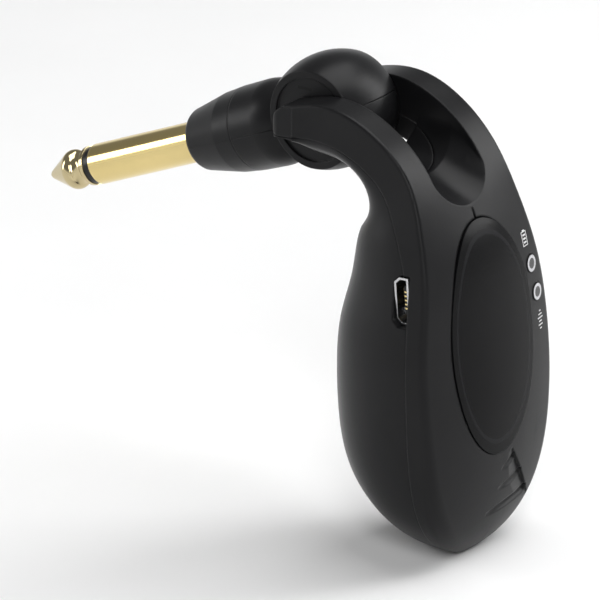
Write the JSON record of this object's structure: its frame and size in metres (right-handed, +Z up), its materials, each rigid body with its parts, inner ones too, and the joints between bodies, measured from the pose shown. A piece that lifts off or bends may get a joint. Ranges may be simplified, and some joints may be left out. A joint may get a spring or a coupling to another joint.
{
  "type": "wireless guitar transmitter",
  "caption": "Folding wireless guitar transmitter: teardrop body with forked hinge prongs, swivelling quarter-inch plug, side power slide, channel button and charging socket.",
  "frame": {"origin": "on the plug axis at the mouth of the plug holder, where the plug leaves it", "axes": "+Z up the body, -Y out of the badge face, X along the hinge; the plug points to +Y and 23.3 degrees down"},
  "size_m": [0.0325, 0.0858, 0.0738],
  "materials": {
    "shell": "fine matt moulded black",
    "holder": "matt moulded black",
    "badge": "satin black plate",
    "lens": "clear light pipe",
    "chip": "light-emitting chip",
    "board": "green solder mask",
    "steel": "plated steel",
    "tongue": "black liquid-crystal polymer",
    "cell": "laminated foil pouch",
    "foam": "closed-cell foam",
    "switch": "moulded switch housing",
    "button": "bright polished cap",
    "knob": "bright ribbed knob",
    "screw": "black-oxide screw",
    "bush": "turned brass bush",
    "washer": "acetal washer",
    "gold": "gold-plated plug",
    "tip": "plated plug tip",
    "core": "black insulator",
    "lug": "tinned solder lug"
  },
  "bodies": {
    "body": {"front_shell": "shell", "rear_shell": "shell", "badge_plate": "badge", "audio_light_lens": "lens", "battery_light_lens": "lens", "light_chips": "chip", "circuit_board": "board", "shield_can": "steel", "antenna": "lug", "usb_socket": "steel", "usb_tongue": "tongue", "battery_cell": "cell", "battery_pad": "foam", "tact_switch": "switch", "switch_body": "steel", "pivot_bush_left": "bush", "pivot_bush_right": "bush", "friction_washer_left": "washer", "friction_washer_right": "washer", "shell_screws": "screw"},
    "plug_holder": {"holder_upper": "holder", "holder_lower": "holder", "holder_nose": "holder", "holder_screw": "screw", "plug_sleeve": "gold", "plug_insulator": "core", "plug_tip": "tip", "ground_lug": "lug", "tip_lug": "lug"},
    "channel_button": {"channel_button": "button", "button_plunger": "switch"},
    "power_slider": {"power_slider": "knob"}
  },
  "joints": [
    {"name": "plug_hinge", "type": "hinge", "parent": "body", "child": "plug_holder", "pos_m": [0, -0.0248, 0.01068], "axis": [1, 0, 0], "range_deg": [-66, 153]},
    {"name": "power_slide", "type": "slide", "parent": "body", "child": "power_slider", "axis": [0, 0.0698, 0.9976], "range_m": [0, 0.0028]},
    {"name": "channel_press", "type": "slide", "parent": "body", "child": "channel_button", "axis": [-1, 0, 0], "range_m": [0, 0.0004], "stiffness_N_per_m": 400}
  ]
}
